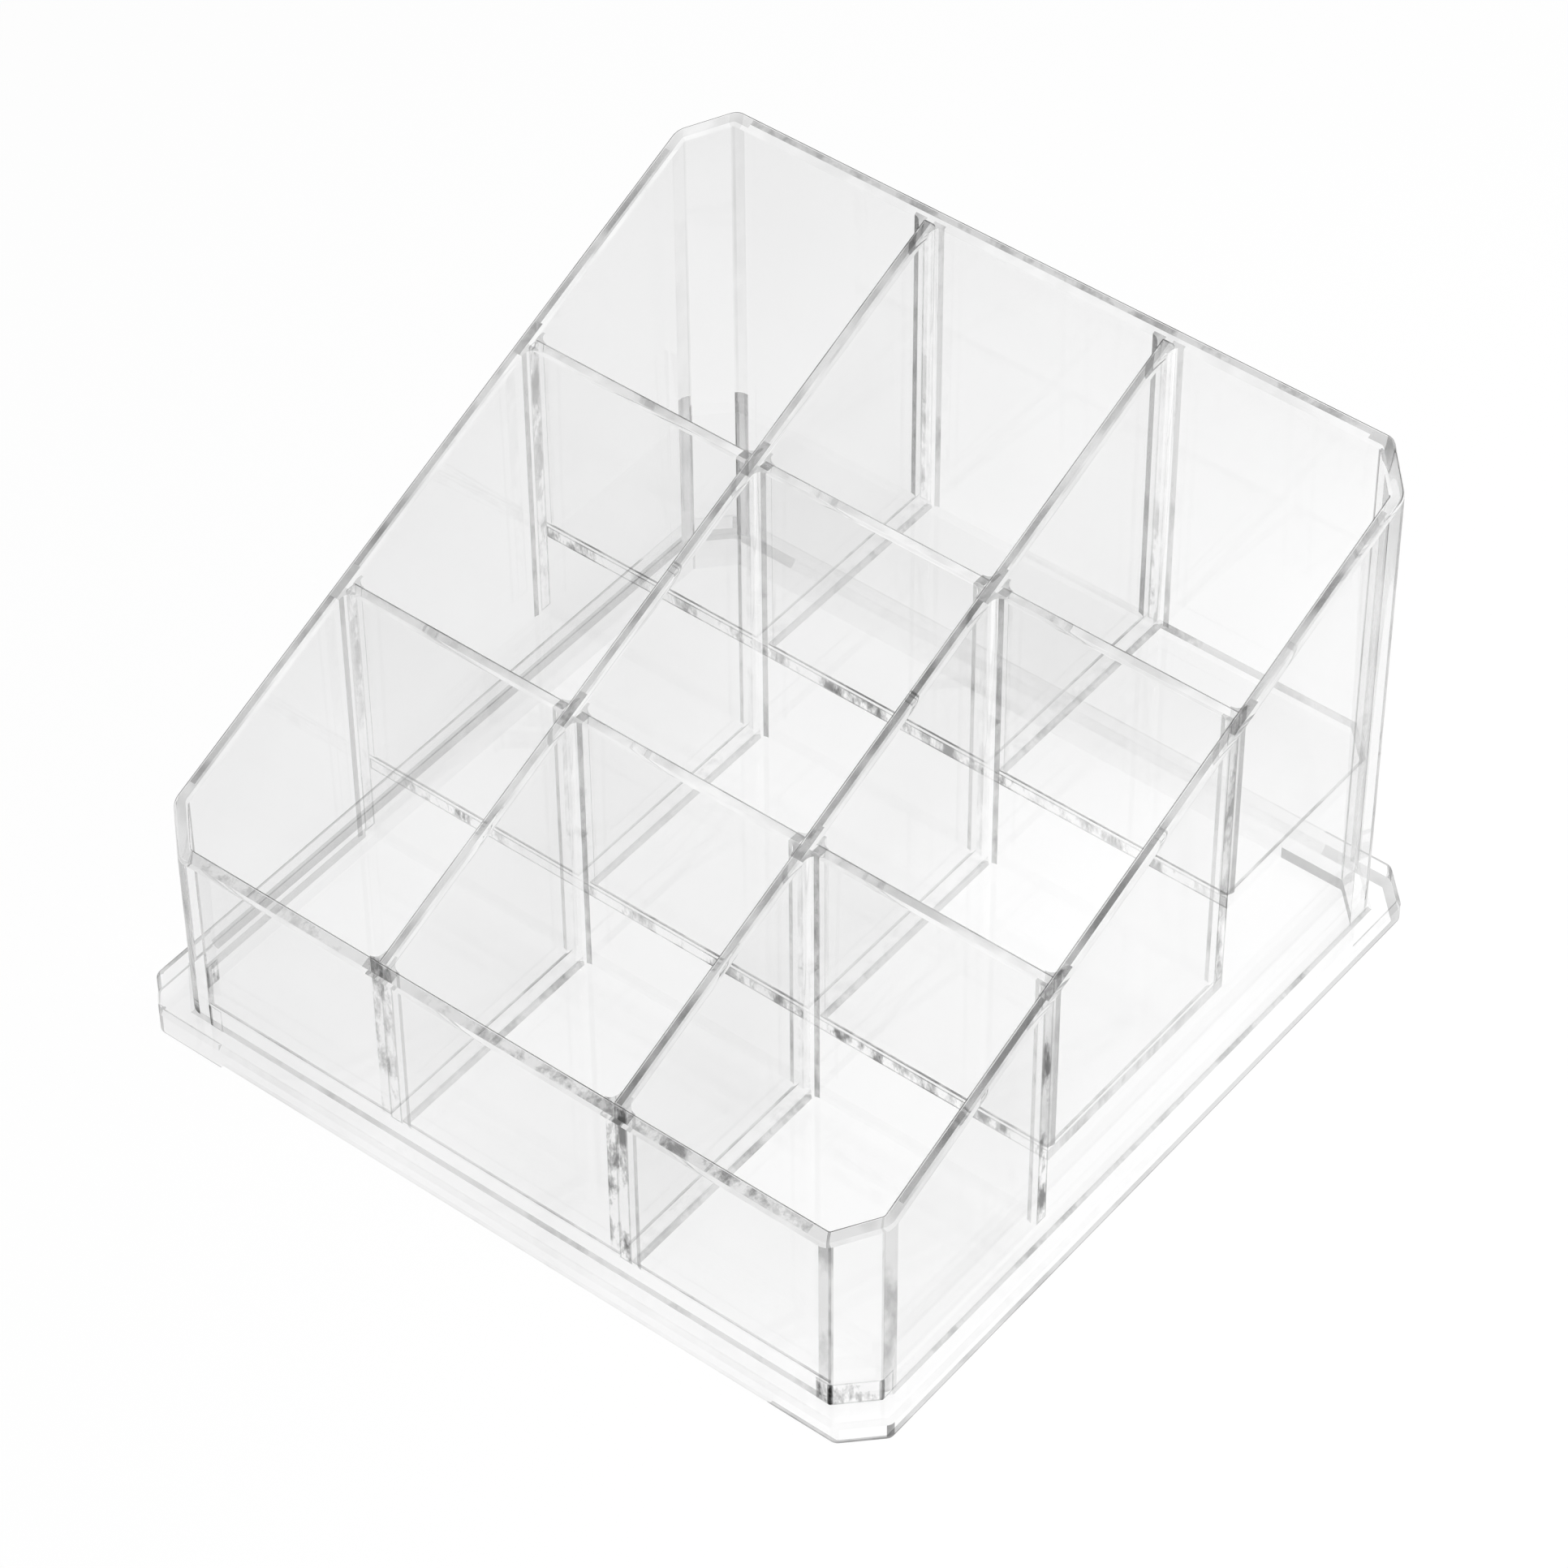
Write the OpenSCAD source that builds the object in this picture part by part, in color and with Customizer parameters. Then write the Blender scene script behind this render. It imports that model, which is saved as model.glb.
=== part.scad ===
// Stepped organizer bonded from clear sheet: an eight-sided box with a sloping rim, three
// floors that rise from front to back, and slotted walls that part it into nine bays.
// The front is at -Y, the table at z = 0, and the axis of the box is the Z axis.

/* [Box] */
// Outer width of the box, left to right
body_w = 120; // [100:1:180]
// Outer depth of the box, front to back
body_d = 119; // [100:1:180]
// Height of the rim at the front face of the box
front_rim_h = 33.7; // [28:0.1:45]
// Height of the rim at the back face of the box
back_rim_h = 83.5; // [70:0.1:120]
// Thickness of the outer walls and their corner strips
wall_t = 2; // [1.5:0.1:3]

/* [Corner strips] */
// Leg of the 45 degree corner, measured along each wall
corner_leg = 6; // [5:0.5:12]
// Inner radius of the two soft bends of a corner strip
bend_inner_r = 0.5; // [0.3:0.1:2.5]
// Flat end of a corner strip, from its bend to the joint with the wall
corner_flat = 2; // [1:0.5:6]

/* [Long dividers] */
// Thickness of the two long dividers
divider_t = 2; // [1.5:0.1:3]
// Clear width of the centre column of bays
centre_bay_w = 37.3; // [25:0.1:50]

/* [Risers] */
// Thickness of the two cross walls that close the steps
riser_t = 2; // [1.5:0.1:3]
// Clear depth of the front row of bays
front_bay_d = 37.6; // [25:0.1:45]
// Clear depth of the middle row of bays
middle_bay_d = 36.8; // [20:0.1:40]

/* [Half-lap joints] */
// Play on each side of a wall that sits in the slot of another
slot_play = 0.1; // [0.05:0.05:0.3]

/* [Floors] */
// Thickness of the three floors
floor_t = 2; // [1.5:0.1:3]
// Height of the front floor's upper face
front_floor_h = 4; // [3.5:0.1:8]
// Height of the middle floor's upper face
middle_floor_h = 17; // [12:0.5:21]
// Height of the rear floor's upper face
rear_floor_h = 32; // [27:0.5:40]

/* [Plinth] */
// How far the plinth stands out from the outer walls
plinth_out = 3; // [2:0.5:6]
// Height of the plinth
plinth_h = 4.1; // [3:0.1:8]
// Leg of the 45 degree corner of the plinth
plinth_leg = 5.2; // [3.5:0.1:7]
// Outer radius of the two soft bends of a plinth corner
plinth_bend_r = 1.5; // [1:0.5:5]
// Length by which a plinth corner block laps the joint of wall and corner strip
plinth_lap = 4; // [2:0.5:10]

/* [Hidden] */
$fn = 96;
// Overrun of every cutting shape past the face that it cuts
over = 1;
clear_sheet = [0.88, 0.91, 0.93, 0.45];
clear_block = [0.80, 0.85, 0.88, 0.55];

// Box outline: the inner faces, the bends and the joints between walls and strips
inner_w = body_w - 2 * wall_t;
inner_d = body_d - 2 * wall_t;
half_bend_angle = 22.5;
bend_outer_r = bend_inner_r + wall_t;
inner_leg = corner_leg - wall_t * (2 - sqrt(2));
corner_take = corner_leg + bend_outer_r * tan(half_bend_angle) + corner_flat;
plinth_take = corner_take + plinth_lap;

// Rows and columns: faces of the risers and centres of the dividers
lower_front_y = front_bay_d - inner_d / 2;
lower_back_y = lower_front_y + riser_t;
upper_front_y = lower_back_y + middle_bay_d;
upper_back_y = upper_front_y + riser_t;
divider_x = (centre_bay_w + divider_t) / 2;

// Sloping rim, and the heights at which risers and dividers half-lap
rim_slope = (back_rim_h - front_rim_h) / body_d;
function rim_at(y) = front_rim_h + rim_slope * (y + body_d / 2);
lower_top_h = rim_at(lower_front_y);
upper_top_h = rim_at(upper_front_y);
lower_lap_h = (front_floor_h + lower_top_h) / 2;
upper_lap_h = (middle_floor_h + upper_top_h) / 2;

// Tangent points of one softened 45 degree corner, in the quarter of +X and +Y
function soft_corner(w, d, leg, r) =
    let (tangent = r * tan(half_bend_angle), step = tangent / sqrt(2)) [
        [w / 2, d / 2 - leg - tangent],
        [w / 2 - step, d / 2 - leg + step],
        [w / 2 - leg + step, d / 2 - step],
        [w / 2 - leg - tangent, d / 2]
    ];
function flipped(points, sx, sy) = [for (p = points) [sx * p[0], sy * p[1]]];
function backwards(points) = [for (i = [len(points) - 1 : -1 : 0]) points[i]];

// Eight-sided outline whose corners have legs of 45 degrees and bends of radius r
module soft_octagon(w, d, leg, r) {
    quarter = soft_corner(w, d, leg, r);
    tangent = r * tan(half_bend_angle);
    polygon(concat(
        quarter,
        backwards(flipped(quarter, -1, 1)),
        flipped(quarter, -1, -1),
        backwards(flipped(quarter, 1, -1))
    ));
    for (sx = [-1, 1], sy = [-1, 1]) {
        translate([sx * (w / 2 - r), sy * (d / 2 - leg - tangent)]) circle(r);
        translate([sx * (w / 2 - leg - tangent), sy * (d / 2 - r)]) circle(r);
    }
}

module box_outline() {
    soft_octagon(body_w, body_d, corner_leg, bend_outer_r);
}

module inner_outline() {
    soft_octagon(inner_w, inner_d, inner_leg, bend_inner_r);
}

module plinth_outline() {
    soft_octagon(body_w + 2 * plinth_out, body_d + 2 * plinth_out, plinth_leg, plinth_bend_r);
}

// Square at one corner of the box, from the joint of the strip to past the plinth
module corner_area(sx, sy, take) {
    side = take + plinth_out + over;
    translate([
        sx * (body_w / 2 - take + side / 2),
        sy * (body_d / 2 - take + side / 2)
    ]) square(side, center = true);
}

module block(low, high) {
    translate(low) cube(high - low);
}

// Profile in the YZ plane, drawn from its points [y, z] and given a thickness along X
module side_profile(points, centre_x, thickness) {
    translate([centre_x - thickness / 2, 0, 0])
        rotate([90, 0, 90]) linear_extrude(thickness) polygon(points);
}

// All the space under the plane of the rim
module under_rim() {
    reach = body_d / 2 + over;
    side_profile([
        [-reach, -over],
        [reach, -over],
        [reach, rim_at(reach)],
        [-reach, rim_at(-reach)]
    ], 0, body_w + 2 * over);
}

// Outer wall across the width; side is -1 in front and 1 at the back
module cross_wall(side) {
    half = body_w / 2 - corner_take;
    face_y = side * (body_d - wall_t) / 2;
    color(clear_sheet) intersection() {
        block([-half, face_y - wall_t / 2, 0], [half, face_y + wall_t / 2, back_rim_h + over]);
        under_rim();
    }
}

// Outer wall along the depth; side is -1 on the left and 1 on the right
module long_wall(side) {
    half = body_d / 2 - corner_take;
    color(clear_sheet) side_profile([
        [-half, 0],
        [half, 0],
        [half, rim_at(half)],
        [-half, rim_at(-half)]
    ], side * (body_w - wall_t) / 2, wall_t);
}

// Strip bent twice by 45 degrees, which joins two outer walls
module corner_strip(sx, sy) {
    color(clear_sheet) intersection() {
        linear_extrude(back_rim_h + over) intersection() {
            difference() {
                box_outline();
                inner_outline();
            }
            corner_area(sx, sy, corner_take);
        }
        under_rim();
    }
}

// Floor between the outer walls, from y = front to y = back, with its upper face at top
module floor_sheet(front, back, top) {
    color(clear_sheet) translate([0, 0, top - floor_t]) linear_extrude(floor_t) intersection() {
        inner_outline();
        translate([-inner_w / 2, front]) square([inner_w, back - front]);
    }
}

// Cross wall that closes a step, slotted from above down to lap for the two dividers
module riser(front, base, lap, top) {
    slot = divider_t / 2 + slot_play;
    color(clear_sheet) difference() {
        block([-inner_w / 2, front, base], [inner_w / 2, front + riser_t, top]);
        for (x = [-divider_x, divider_x])
            block([x - slot, front - over, lap], [x + slot, front + riser_t + over, top + over]);
    }
}

// Long divider with a stepped lower edge, slotted from below for the two risers
module divider(x) {
    slot_x = divider_t / 2 + over;
    color(clear_sheet) difference() {
        side_profile([
            [-inner_d / 2, front_floor_h],
            [lower_back_y, front_floor_h],
            [lower_back_y, middle_floor_h],
            [upper_back_y, middle_floor_h],
            [upper_back_y, rear_floor_h],
            [inner_d / 2, rear_floor_h],
            [inner_d / 2, rim_at(inner_d / 2)],
            [-inner_d / 2, rim_at(-inner_d / 2)]
        ], x, divider_t);
        block([x - slot_x, lower_front_y - slot_play, front_floor_h - over],
              [x + slot_x, lower_back_y + slot_play, lower_lap_h + slot_play]);
        block([x - slot_x, upper_front_y - slot_play, middle_floor_h - over],
              [x + slot_x, upper_back_y + slot_play, upper_lap_h + slot_play]);
    }
}

// Plinth rail across the width; side is -1 in front and 1 at the back
module cross_rail(side) {
    half = body_w / 2 - plinth_take;
    centre_y = side * (body_d + plinth_out) / 2;
    color(clear_block)
        block([-half, centre_y - plinth_out / 2, 0], [half, centre_y + plinth_out / 2, plinth_h]);
}

// Plinth rail along the depth; side is -1 on the left and 1 on the right
module long_rail(side) {
    half = body_d / 2 - plinth_take;
    centre_x = side * (body_w + plinth_out) / 2;
    color(clear_block)
        block([centre_x - plinth_out / 2, -half, 0], [centre_x + plinth_out / 2, half, plinth_h]);
}

// Plinth block that wraps a corner strip and laps its joints with the walls
module plinth_corner(sx, sy) {
    color(clear_block) linear_extrude(plinth_h) intersection() {
        difference() {
            plinth_outline();
            box_outline();
        }
        corner_area(sx, sy, plinth_take);
    }
}

module front_wall() { cross_wall(-1); }
module back_wall() { cross_wall(1); }
module left_wall() { long_wall(-1); }
module right_wall() { long_wall(1); }
module front_left_corner() { corner_strip(-1, -1); }
module front_right_corner() { corner_strip(1, -1); }
module back_left_corner() { corner_strip(-1, 1); }
module back_right_corner() { corner_strip(1, 1); }
module front_floor() { floor_sheet(-inner_d / 2, lower_back_y, front_floor_h); }
module middle_floor() { floor_sheet(lower_back_y, upper_back_y, middle_floor_h); }
module rear_floor() { floor_sheet(upper_back_y, inner_d / 2, rear_floor_h); }
module lower_riser() { riser(lower_front_y, front_floor_h, lower_lap_h, lower_top_h); }
module upper_riser() { riser(upper_front_y, middle_floor_h, upper_lap_h, upper_top_h); }
module left_divider() { divider(-divider_x); }
module right_divider() { divider(divider_x); }
module front_plinth_rail() { cross_rail(-1); }
module back_plinth_rail() { cross_rail(1); }
module left_plinth_rail() { long_rail(-1); }
module right_plinth_rail() { long_rail(1); }
module front_left_plinth_corner() { plinth_corner(-1, -1); }
module front_right_plinth_corner() { plinth_corner(1, -1); }
module back_left_plinth_corner() { plinth_corner(-1, 1); }
module back_right_plinth_corner() { plinth_corner(1, 1); }

front_wall();
back_wall();
left_wall();
right_wall();
front_left_corner();
front_right_corner();
back_left_corner();
back_right_corner();
front_floor();
middle_floor();
rear_floor();
lower_riser();
upper_riser();
left_divider();
right_divider();
front_plinth_rail();
back_plinth_rail();
left_plinth_rail();
right_plinth_rail();
front_left_plinth_corner();
front_right_plinth_corner();
back_left_plinth_corner();
back_right_plinth_corner();
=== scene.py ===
"""Looks of a stepped organizer of clear sheet: rims, fillets, clear finishes, stage and camera."""

import math

import bmesh
import bpy
from bpy.props import FloatProperty, FloatVectorProperty, IntProperty, PointerProperty
from mathutils import Matrix, Vector
from mathutils.bvhtree import BVHTree


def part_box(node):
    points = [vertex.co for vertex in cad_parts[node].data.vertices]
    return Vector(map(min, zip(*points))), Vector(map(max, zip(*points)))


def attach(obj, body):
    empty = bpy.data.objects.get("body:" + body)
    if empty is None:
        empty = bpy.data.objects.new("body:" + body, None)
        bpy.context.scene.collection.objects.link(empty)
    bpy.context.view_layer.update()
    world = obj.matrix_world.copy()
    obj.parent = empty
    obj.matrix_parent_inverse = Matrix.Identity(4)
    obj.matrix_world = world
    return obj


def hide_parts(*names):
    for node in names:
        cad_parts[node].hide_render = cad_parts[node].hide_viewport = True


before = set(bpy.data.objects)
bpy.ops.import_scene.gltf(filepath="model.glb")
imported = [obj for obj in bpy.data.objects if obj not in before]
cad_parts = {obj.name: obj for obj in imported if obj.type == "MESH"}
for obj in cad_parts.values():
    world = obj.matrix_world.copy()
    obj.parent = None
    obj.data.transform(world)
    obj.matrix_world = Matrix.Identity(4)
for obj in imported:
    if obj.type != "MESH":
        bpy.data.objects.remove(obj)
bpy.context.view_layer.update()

bl_info = {
    "name": "Stepped Clear Organizer",
    "version": (1, 0, 0),
    "blender": (4, 5, 0),
    "location": "3D View > Sidebar > Organizer",
    "description": "Builds the clear pieces of a stepped organizer and the stage they are seen on",
    "category": "Object",
}

MM = 0.001
BODY = "root"

# Legs of the box's cut corners, outside and inside, and half the thickness of a wall
OUTER_LEG = 6 * MM
INNER_LEG = 4.83 * MM
HALF_WALL = 1 * MM
# Line along a rim at which its finish changes, the darker side painted shade: past the middle of a
# long wall's rim, darker to its left, and from the outer edge of the back wall's, darker outside it
PALE_SIDE = 0.25 * MM
BACK_LINE = 1.1 * MM
# Painted shade: a dark strip inside the foot of the back wall, under the rear floor: its height, and
# the x from which it runs
SHADE_STRIP_HEIGHT = 2 * MM
SHADE_STRIP_START = 43 * MM
# How far fillets and rings reach into the sheets, and how far fillets end below a rim
FILLET_SINK = 0.4 * MM
RING_SINK = 0.2 * MM
RIM_GAP = 0.03 * MM
# Width of the line of cement round a bonded face, and of the dark line of painted shade inside the
# rounding on the front left plinth corner
CEMENT_LINE = 0.25 * MM
LEFT_LINE = 0.25 * MM
# How far outside a face another piece is looked for
PROBE = 0.2 * MM
# Distances under which two points are one and two coordinates are equal
WELD = 0.001 * MM
EQUAL = 0.01 * MM

# Limits for a part of a face's normal: straight that way, turned that way, well turned that
# way, square to that way, and along both axes on a 45 degree facet
STRAIGHT = 0.8
TURNED = 0.2
WELL_TURNED = 0.3
SQUARE = 0.1
FACET = 0.69
# Angles in degrees: between the sides of the box and its facets, and what still counts as one
EIGHTH_TURN = 45
SLACK = 1
# Edges that turn by more than this angle stay sharp
SHARP_ANGLE = math.radians(32)

WALLS = ("front_wall", "back_wall", "left_wall", "right_wall")
CORNERS = ("front_left_corner", "front_right_corner", "back_left_corner", "back_right_corner")
FLOORS = ("front_floor", "middle_floor", "rear_floor")
RISERS = ("lower_riser", "upper_riser")
DIVIDERS = ("left_divider", "right_divider")
RAILS = ("front_plinth_rail", "back_plinth_rail", "left_plinth_rail", "right_plinth_rail")
PLINTH_CORNERS = (
    "front_left_plinth_corner", "front_right_plinth_corner",
    "back_left_plinth_corner", "back_right_plinth_corner",
)
RIMMED = WALLS + CORNERS + RISERS + DIVIDERS
OUTSIDE = WALLS + CORNERS + RAILS + PLINTH_CORNERS
# Pieces with a strip of painted shade at the foot, under the rear floor
SHADE_STRIPPED = ("back_wall", "back_right_corner")

# Finishes of the clear pieces, as the places of their rows in FINISHES
(FACE, RIM, LONG_RIM, KNOT, DARK_EDGE, PALE_EDGE, PLINTH_EDGE, PLINTH_FOOT_SHADOW, FILLET,
 BEND, DEEP_BEND, JOINT, JOINT_LINE, FOOT, FOOT_LINE, SEAM, UPRIGHT_LINE, DARK_LINE, GLEAM,
 FRONT_RIM, FRONT_JOINT) = range(21)
BONDED = {JOINT, JOINT_LINE, FOOT, SEAM}

CLEAR_IOR = 1.49
# Share of light that a sheet mirrors where it is seen head on
HEAD_ON = 0.04

# Half the side of the table, and how far it lies below the organizer's foot
TABLE_REACH = 3
TABLE_DROP = 0.05 * MM
# Share of the table's white that comes from its own glow, and how much of it a sheet takes away
TABLE_GLOW = 0.95
SHEET_SHADE = 0.5
# Light of the world on the organizer; a seen background has strength 1, which is white
WORLD_LIGHT = 0.35
SENSOR_WIDTH = 36
VIEW_END = 50
BOUNCES = {
    "transparent_max_bounces": 96,
    "max_bounces": 24,
    "transmission_bounces": 24,
    "glossy_bounces": 8,
}


# Sizes and colours

class OrganizerSizes(bpy.types.PropertyGroup):
    """Roundings and fillets, which the frame leaves out"""
    rim_round: FloatProperty(
        name="Rim rounding", description="Radius of the polished rim edges",
        default=0.4 * MM, min=0.1 * MM, max=0.9 * MM, unit="LENGTH")
    plinth_round: FloatProperty(
        name="Plinth rounding", description="Radius of the plinth's upper outer edge",
        default=0.7 * MM, min=0.1 * MM, max=1.5 * MM, unit="LENGTH")
    foot_round: FloatProperty(
        name="Foot rounding", description="Radius of the plinth's lower outer edge",
        default=1.1 * MM, min=0.1 * MM, max=1.5 * MM, unit="LENGTH")
    fillet: FloatProperty(
        name="Fillet", description="Radius of the cement fillets in the upright inner angles",
        default=1.5 * MM, min=0.5 * MM, max=3.0 * MM, unit="LENGTH")
    floor_fillet: FloatProperty(
        name="Floor fillet", description="Radius of the cement fillets round the floors",
        default=0.7 * MM, min=0.2 * MM, max=1.2 * MM, unit="LENGTH")
    plinth_fillet: FloatProperty(
        name="Plinth fillet", description="Radius of the cement fillet between the plinth and the walls",
        default=0.5 * MM, min=0.2 * MM, max=1.2 * MM, unit="LENGTH")
    segments: IntProperty(
        name="Segments", description="Flats that make up each rounding and fillet",
        default=6, min=2, max=16)


class OrganizerColours(bpy.types.PropertyGroup):
    """Colours of the clear faces and of the table"""
    face_tint: FloatVectorProperty(
        name="Face tint", description="Light that one face of a sheet lets through",
        subtype="COLOR", size=4, min=0, max=1, default=(0.995, 0.995, 0.995, 1))
    floor_colour: FloatVectorProperty(
        name="Table", description="Colour of the table that the organizer stands on",
        subtype="COLOR", size=4, min=0, max=1, default=(0.93, 0.93, 0.93, 1))


class OrganizerStudio(bpy.types.PropertyGroup):
    """Place and lens of the camera"""
    aim: FloatVectorProperty(
        name="Aim", description="Point that the camera looks at",
        subtype="TRANSLATION", unit="LENGTH", size=3, default=(0.00554, -0.00619, 0.04224))
    distance: FloatProperty(
        name="Distance", description="Distance from the camera to its aim",
        default=0.78, min=0.1, unit="LENGTH")
    azimuth: FloatProperty(
        name="Azimuth", description="Turn of the camera round the organizer, from the front to the right",
        default=math.radians(38.633), unit="ROTATION")
    elevation: FloatProperty(
        name="Elevation", description="Height of the camera above the table, as an angle",
        default=math.radians(45.536), unit="ROTATION")
    roll: FloatProperty(
        name="Roll", description="Turn of the camera about its own axis",
        default=math.radians(-0.48), unit="ROTATION")
    lens: FloatProperty(
        name="Lens", description="Focal length on a 36 mm wide sensor",
        default=136.8, min=1, unit="CAMERA")


# Shader maths

class Value:
    """A socket in a node tree, with arithmetic that adds the Math nodes it stands for."""

    def __init__(self, recipe, socket):
        self.recipe = recipe
        self.socket = socket

    def maths(self, operation, first, second):
        return self.recipe.value("ShaderNodeMath", {"operation": operation}, {0: first, 1: second})

    def __add__(self, other):
        return self.maths("ADD", self, other)

    __radd__ = __add__

    def __sub__(self, other):
        return self.maths("SUBTRACT", self, other)

    def __rsub__(self, other):
        return self.maths("SUBTRACT", other, self)

    def __mul__(self, other):
        return self.maths("MULTIPLY", self, other)

    __rmul__ = __mul__

    def power(self, exponent):
        return self.maths("POWER", self, exponent)


class Recipe:
    """Node tree of one finish or of the world, filled node by node."""

    def __init__(self, tree):
        self.tree = tree
        tree.nodes.clear()

    def node(self, kind, settings=None, inputs=None):
        """A node of one kind, with its settings made first and then its sockets' values or links."""
        node = self.tree.nodes.new(kind)
        for name, setting in (settings or {}).items():
            setattr(node, name, setting)
        for key, given in (inputs or {}).items():
            if isinstance(given, Value):
                self.tree.links.new(given.socket, node.inputs[key])
            else:
                node.inputs[key].default_value = given
        return node

    def value(self, kind, settings=None, inputs=None, output=0):
        """One output of such a node."""
        return Value(self, self.node(kind, settings, inputs).outputs[output])

    def place(self):
        return self.value("ShaderNodeTexCoord", output="Object")

    def turned(self):
        """0 where a face is seen head on and 1 where it is seen edge on."""
        return self.value("ShaderNodeLayerWeight", inputs={"Blend": 0.5}, output="Facing")

    def noise(self, place, scale, detail, roughness):
        return self.value("ShaderNodeTexNoise", inputs={
            "Vector": place, "Scale": scale, "Detail": detail, "Roughness": roughness})

    def between(self, value, low, high):
        """0 at low, 1 at high, and kept to that range."""
        return self.value("ShaderNodeMapRange", inputs={
            "Value": value, "From Min": low, "From Max": high, "To Min": 0, "To Max": 1})

    def blend(self, share, first, second):
        """The first shader, with this share of the second one."""
        return self.value("ShaderNodeMixShader", inputs={0: share, 1: first, 2: second})

    def through(self, grey):
        """Light that goes straight through and comes out this grey."""
        return self.value("ShaderNodeBsdfTransparent", inputs={"Color": (grey, grey, grey, 1)})

    def pass_lamps(self, shader, share):
        """Output of a clear finish: the lamps' light goes straight through it, as this share."""
        lamp_ray = self.value("ShaderNodeLightPath", output="Is Shadow Ray")
        surface = self.blend(lamp_ray, shader, self.through(share))
        self.node("ShaderNodeOutputMaterial", inputs={"Surface": surface})


def new_finish(name):
    material = bpy.data.materials.new(name)
    material.use_nodes = True
    return material, Recipe(material.node_tree)


def face_finish(name):
    """Broad polished faces of a clear sheet, which shade and mirror more the more they turn away."""
    colours = bpy.context.scene.organizer_colours
    material, mix = new_finish(name)
    place = mix.place()
    turned = mix.turned()
    cloud = mix.noise(place, scale=16, detail=3, roughness=0.5)
    scuff = mix.noise(place, scale=420, detail=4, roughness=0.7)
    shade = turned.power(3) * 0.11 + mix.between(cloud, low=0.35, high=0.65) * 0.02
    clear = mix.value("ShaderNodeBsdfTransparent", inputs={"Color": tuple(colours.face_tint)})
    wave = mix.value("ShaderNodeBump", inputs={
        "Strength": 0.05, "Distance": 0.4 * MM, "Height": cloud}, output="Normal")
    mirror = mix.value("ShaderNodeBsdfAnisotropic", inputs={
        "Color": (1, 1, 1, 1),
        "Roughness": mix.between(scuff, low=0.5, high=0.8) * 0.1 + 0.03,
        "Normal": wave,
    })
    mirrored = turned.power(5) * (1 - HEAD_ON) + HEAD_ON
    sheet = mix.blend(mirrored, mix.blend(shade, clear, mix.through(0)), mirror)
    mix.pass_lamps(sheet, share=0.985)
    return material


def lens_finish(name, clear, dark, least, most, grain):
    """Rims and roundings: glass that bends light as a lens does, tinted in runs from clear to dark, the
    dark runs painted shade.
    """
    material, mix = new_finish(name)
    place = mix.place()
    runs = mix.noise(place, scale=grain, detail=2, roughness=0.6)
    stretches = mix.noise(place, scale=grain / 5, detail=1, roughness=0.5)
    both = mix.between(runs, low=0.42, high=0.64) + mix.between(stretches, low=0.4, high=0.6)
    share = both * ((most - least) / 2) + least
    roughness = mix.between(runs, low=0.3, high=0.7) * 0.06 + 0.01
    pale, deep = (
        mix.value("ShaderNodeBsdfGlass", inputs={
            "Color": (grey, grey, grey, 1), "Roughness": roughness, "IOR": CLEAR_IOR})
        for grey in (clear, dark))
    mix.pass_lamps(mix.blend(share, pale, deep), share=0.9)
    return material


def cement_finish(name, clear, dark, least, most, grain, turn=0.0, gleam=0.0):
    """Cement and bonded faces: a clear layer with dark runs, and painted shade, by turn, where it turns
    away.

    Its gleam is the share of light that it mirrors.
    """
    material, mix = new_finish(name)
    place = mix.value("ShaderNodeVectorMath", {"operation": "MULTIPLY"}, {
        0: mix.place(), 1: (1, 1, 0.4)})
    runs = mix.noise(place, scale=grain, detail=4, roughness=0.7)
    stretches = mix.noise(place, scale=grain / 6, detail=1, roughness=0.5)
    both = mix.between(runs, low=0.46, high=0.62) * mix.between(stretches, low=0.34, high=0.58)
    share = both * (most - least) + least
    if turn:
        share = share + mix.between(mix.turned(), low=0.82, high=0.97) * turn
    layer = mix.blend(share, mix.through(clear), mix.through(dark))
    if gleam:
        mirror = mix.value("ShaderNodeBsdfAnisotropic", inputs={
            "Color": (1, 1, 1, 1),
            "Roughness": mix.between(runs, low=0.4, high=0.7) * 0.15 + 0.05,
        })
        layer = mix.blend(gleam, layer, mirror)
    mix.pass_lamps(layer, share=0.97)
    return material


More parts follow.
